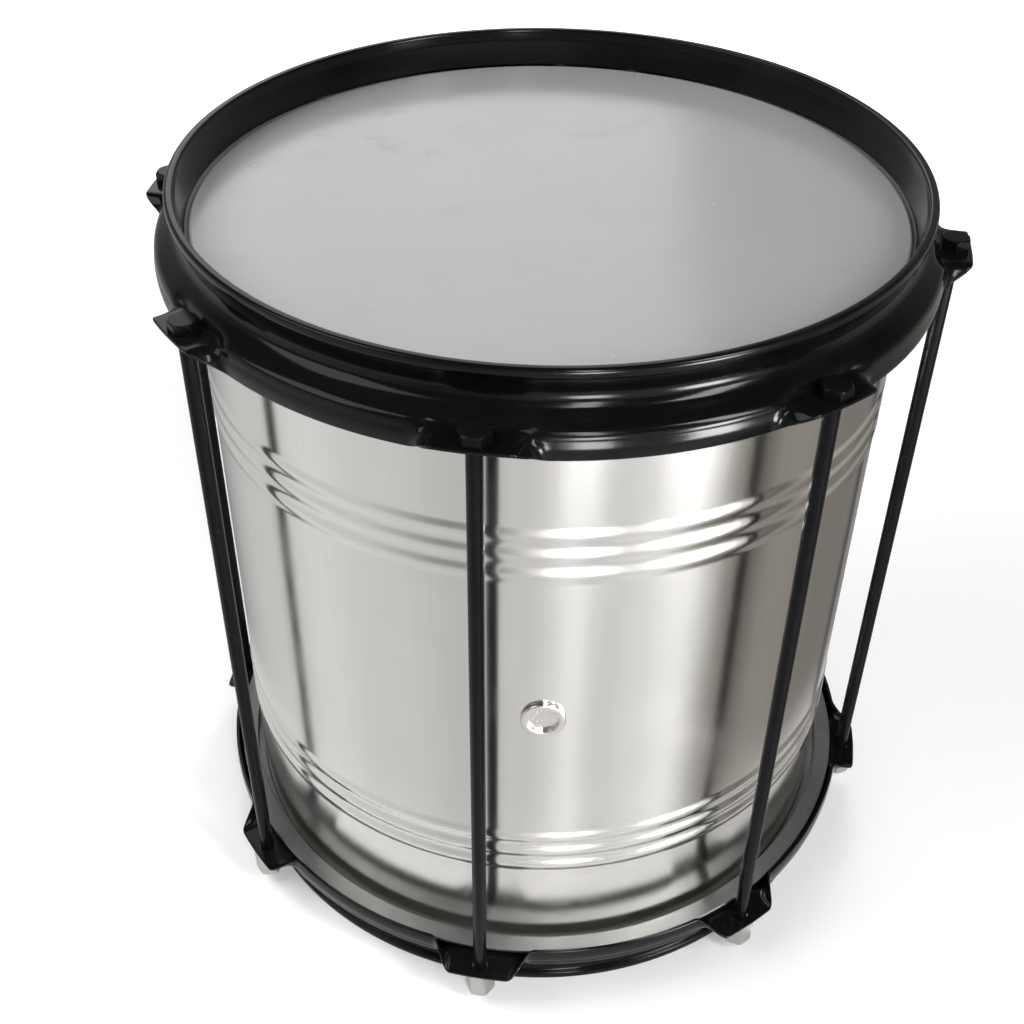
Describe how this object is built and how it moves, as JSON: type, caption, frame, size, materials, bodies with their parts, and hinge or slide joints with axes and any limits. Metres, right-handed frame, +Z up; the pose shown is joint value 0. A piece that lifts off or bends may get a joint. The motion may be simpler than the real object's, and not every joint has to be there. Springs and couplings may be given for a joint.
{
  "type": "repinique",
  "caption": "Cylindrical hand-and-stick drum with a beaded sheet-metal shell, two film heads, flanged steel hoops with folded ears and through tension rods.",
  "frame": {"origin": "centre of the drum's axis on the plane that the lower hoop's lip stands on", "axes": "+Z up along the drum's axis towards the batter head; -Y through tension rod 1, at the front; +X to the right"},
  "size_m": [0.3524, 0.3524, 0.351],
  "materials": {
    "shell_metal": "bright rolled sheet",
    "eyelet_plating": "bright plated",
    "head_film": "milky satin film",
    "flesh_hoop_metal": "satin, as rolled",
    "black_enamel": "gloss black enamel",
    "black_steel": "gloss black plated",
    "nickel_plating": "pale satin plated"
  },
  "bodies": {
    "drum": {"shell": "shell_metal", "vent_eyelet": "eyelet_plating", "vent_eyelet_washer": "eyelet_plating", "batter_film": "head_film", "batter_flesh_hoop": "flesh_hoop_metal", "batter_hoop": "black_enamel", "resonant_film": "head_film", "resonant_flesh_hoop": "flesh_hoop_metal", "resonant_hoop": "black_enamel"},
    "tension_rod_1": {"tension_rod_1": "black_steel"},
    "cap_nut_1": {"cap_nut_1": "nickel_plating"},
    "tension_rod_2": {"tension_rod_2": "black_steel"},
    "cap_nut_2": {"cap_nut_2": "nickel_plating"},
    "tension_rod_3": {"tension_rod_3": "black_steel"},
    "cap_nut_3": {"cap_nut_3": "nickel_plating"},
    "tension_rod_4": {"tension_rod_4": "black_steel"},
    "cap_nut_4": {"cap_nut_4": "nickel_plating"},
    "tension_rod_5": {"tension_rod_5": "black_steel"},
    "cap_nut_5": {"cap_nut_5": "nickel_plating"},
    "tension_rod_6": {"tension_rod_6": "black_steel"},
    "cap_nut_6": {"cap_nut_6": "nickel_plating"},
    "tension_rod_7": {"tension_rod_7": "black_steel"},
    "cap_nut_7": {"cap_nut_7": "nickel_plating"},
    "tension_rod_8": {"tension_rod_8": "black_steel"},
    "cap_nut_8": {"cap_nut_8": "nickel_plating"}
  },
  "joints": [
    {"name": "rod_1_turn", "type": "hinge", "parent": "drum", "child": "tension_rod_1", "pos_m": [0, -0.1692, 0.1755], "axis": [0, 0, 1], "range_deg": [0, 1080]},
    {"name": "nut_1_travel", "type": "slide", "parent": "drum", "child": "cap_nut_1", "axis": [0, 0, -1], "range_m": [0, 0.00381]},
    {"name": "rod_2_turn", "type": "hinge", "parent": "drum", "child": "tension_rod_2", "pos_m": [0.11964, -0.11964, 0.1755], "axis": [0, 0, 1], "range_deg": [0, 1080]},
    {"name": "nut_2_travel", "type": "slide", "parent": "drum", "child": "cap_nut_2", "axis": [0, 0, -1], "range_m": [0, 0.00381]},
    {"name": "rod_3_turn", "type": "hinge", "parent": "drum", "child": "tension_rod_3", "pos_m": [0.1692, 0, 0.1755], "axis": [0, 0, 1], "range_deg": [0, 1080]},
    {"name": "nut_3_travel", "type": "slide", "parent": "drum", "child": "cap_nut_3", "axis": [0, 0, -1], "range_m": [0, 0.00381]},
    {"name": "rod_4_turn", "type": "hinge", "parent": "drum", "child": "tension_rod_4", "pos_m": [0.11964, 0.11964, 0.1755], "axis": [0, 0, 1], "range_deg": [0, 1080]},
    {"name": "nut_4_travel", "type": "slide", "parent": "drum", "child": "cap_nut_4", "axis": [0, 0, -1], "range_m": [0, 0.00381]},
    {"name": "rod_5_turn", "type": "hinge", "parent": "drum", "child": "tension_rod_5", "pos_m": [0, 0.1692, 0.1755], "axis": [0, 0, 1], "range_deg": [0, 1080]},
    {"name": "nut_5_travel", "type": "slide", "parent": "drum", "child": "cap_nut_5", "axis": [0, 0, -1], "range_m": [0, 0.00381]},
    {"name": "rod_6_turn", "type": "hinge", "parent": "drum", "child": "tension_rod_6", "pos_m": [-0.11964, 0.11964, 0.1755], "axis": [0, 0, 1], "range_deg": [0, 1080]},
    {"name": "nut_6_travel", "type": "slide", "parent": "drum", "child": "cap_nut_6", "axis": [0, 0, -1], "range_m": [0, 0.00381]},
    {"name": "rod_7_turn", "type": "hinge", "parent": "drum", "child": "tension_rod_7", "pos_m": [-0.1692, 0, 0.1755], "axis": [0, 0, 1], "range_deg": [0, 1080]},
    {"name": "nut_7_travel", "type": "slide", "parent": "drum", "child": "cap_nut_7", "axis": [0, 0, -1], "range_m": [0, 0.00381]},
    {"name": "rod_8_turn", "type": "hinge", "parent": "drum", "child": "tension_rod_8", "pos_m": [-0.11964, -0.11964, 0.1755], "axis": [0, 0, 1], "range_deg": [0, 1080]},
    {"name": "nut_8_travel", "type": "slide", "parent": "drum", "child": "cap_nut_8", "axis": [0, 0, -1], "range_m": [0, 0.00381]}
  ],
  "couplings": [
    {"joint": "nut_1_travel", "follows": "rod_1_turn", "m_per_rad": 0.00020213},
    {"joint": "nut_2_travel", "follows": "rod_2_turn", "m_per_rad": 0.00020213},
    {"joint": "nut_3_travel", "follows": "rod_3_turn", "m_per_rad": 0.00020213},
    {"joint": "nut_4_travel", "follows": "rod_4_turn", "m_per_rad": 0.00020213},
    {"joint": "nut_5_travel", "follows": "rod_5_turn", "m_per_rad": 0.00020213},
    {"joint": "nut_6_travel", "follows": "rod_6_turn", "m_per_rad": 0.00020213},
    {"joint": "nut_7_travel", "follows": "rod_7_turn", "m_per_rad": 0.00020213},
    {"joint": "nut_8_travel", "follows": "rod_8_turn", "m_per_rad": 0.00020213}
  ]
}
